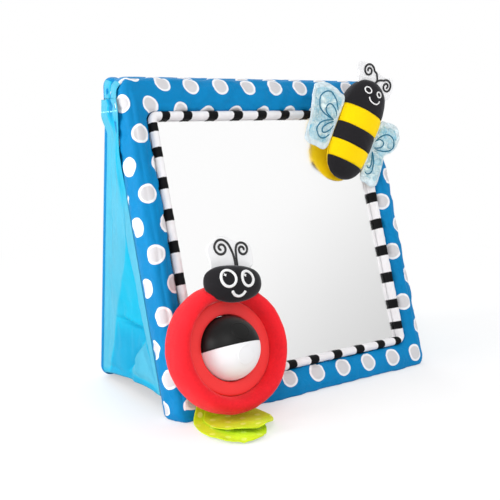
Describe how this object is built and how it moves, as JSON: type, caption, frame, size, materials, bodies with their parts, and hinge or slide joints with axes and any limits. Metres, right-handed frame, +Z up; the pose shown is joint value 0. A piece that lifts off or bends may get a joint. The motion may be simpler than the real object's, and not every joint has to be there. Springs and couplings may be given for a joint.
{
  "type": "tummy time floor mirror",
  "caption": "Padded dotted floor mirror for a baby on a folding cloth stand, with a stuffed ladybird round a spinning ball and a stuffed bee with cloth wings",
  "frame": {"origin": "on the floor, in the middle of the front panel's flat foot", "axes": "+X to the right seen from the front, +Y to the back, +Z up"},
  "size_m": [0.3452, 0.2465, 0.3461],
  "materials": {
    "dotted_cover": "coated cloth, blue with white dots",
    "sky_cloth": "satin polyester",
    "foam": "open foam",
    "mirror": "polished acrylic mirror",
    "board": "stiff board",
    "piping": "black and white striped cloth",
    "white_cloth": "matt cloth",
    "black_cloth": "brushed knit",
    "yellow_cloth": "brushed knit",
    "red_plush": "short velour",
    "red_plastic": "moulded, soft gloss",
    "black_plastic": "moulded, gloss",
    "white_plastic": "moulded, gloss",
    "steel": "drawn rod",
    "leaf_cloth": "crinkled satin with pale dots",
    "wing_cloth": "pale metallic satin, embroidered",
    "hook_and_loop": "hook and loop tape"
  },
  "bodies": {
    "front_panel": {"front_cover": "dotted_cover", "foam_ring": "foam", "mirror_sheet": "mirror", "backing_board": "board", "foam_core": "foam", "front_lining": "sky_cloth", "window_piping": "piping", "hinge_strip": "dotted_cover", "left_gusset": "sky_cloth", "right_gusset": "sky_cloth", "ladybird_loop_patch": "hook_and_loop", "bee_loop_patch": "hook_and_loop"},
    "back_panel": {"back_cover": "dotted_cover", "back_board": "board"},
    "ladybird": {"ladybird_body": "red_plush", "ladybird_hook_patch": "hook_and_loop", "ball_ring_front": "red_plastic", "ball_ring_rear": "red_plastic", "ladybird_head": "black_cloth", "ladybird_antennae": "white_cloth", "upper_leaf": "leaf_cloth", "lower_leaf": "leaf_cloth"},
    "ladybird_ball": {"ball_black_half": "black_plastic", "ball_white_half": "white_plastic", "ball_axle": "steel", "rattle_bead_1": "white_plastic", "rattle_bead_2": "white_plastic", "rattle_bead_3": "white_plastic"},
    "bee": {"bee_hook_patch": "hook_and_loop", "bee_tail": "black_cloth", "bee_lower_band": "yellow_cloth", "bee_middle_band": "black_cloth", "bee_upper_band": "yellow_cloth", "bee_back": "yellow_cloth", "bee_head": "black_cloth", "bee_antennae": "white_cloth"},
    "bee_left_wing_body": {"bee_left_wing": "wing_cloth"},
    "bee_right_wing_body": {"bee_right_wing": "wing_cloth"}
  },
  "joints": [
    {"name": "stand_fold", "type": "hinge", "parent": "front_panel", "child": "back_panel", "pos_m": [0, 0.11996, 0.31409], "axis": [1, 0, 0], "range_deg": [-24, 0], "deforming": ["hinge_strip", "left_gusset", "right_gusset"]},
    {"name": "ladybird_pull_off", "type": "slide", "parent": "front_panel", "child": "ladybird", "axis": [0, -0.9496, 0.3133], "range_m": [0, 0.06]},
    {"name": "ball_spin", "type": "hinge", "parent": "ladybird", "child": "ladybird_ball", "pos_m": [-0.1145, -0.02093, 0.06868], "axis": [1, 0, 0], "continuous": true},
    {"name": "bee_pull_off", "type": "slide", "parent": "front_panel", "child": "bee", "axis": [0, -0.9496, 0.3133], "range_m": [0, 0.06]},
    {"name": "bee_left_wing_flap", "type": "hinge", "parent": "bee", "child": "bee_left_wing_body", "pos_m": [0.09231, 0.05504, 0.29962], "axis": [0.4105, -0.0282, 0.9114], "range_deg": [-8, 56], "stiffness_Nm_per_rad": 0.02},
    {"name": "bee_right_wing_flap", "type": "hinge", "parent": "bee", "child": "bee_right_wing_body", "pos_m": [0.14303, 0.05276, 0.2721], "axis": [-0.4105, 0.0282, -0.9114], "range_deg": [0, 38], "stiffness_Nm_per_rad": 0.02}
  ]
}
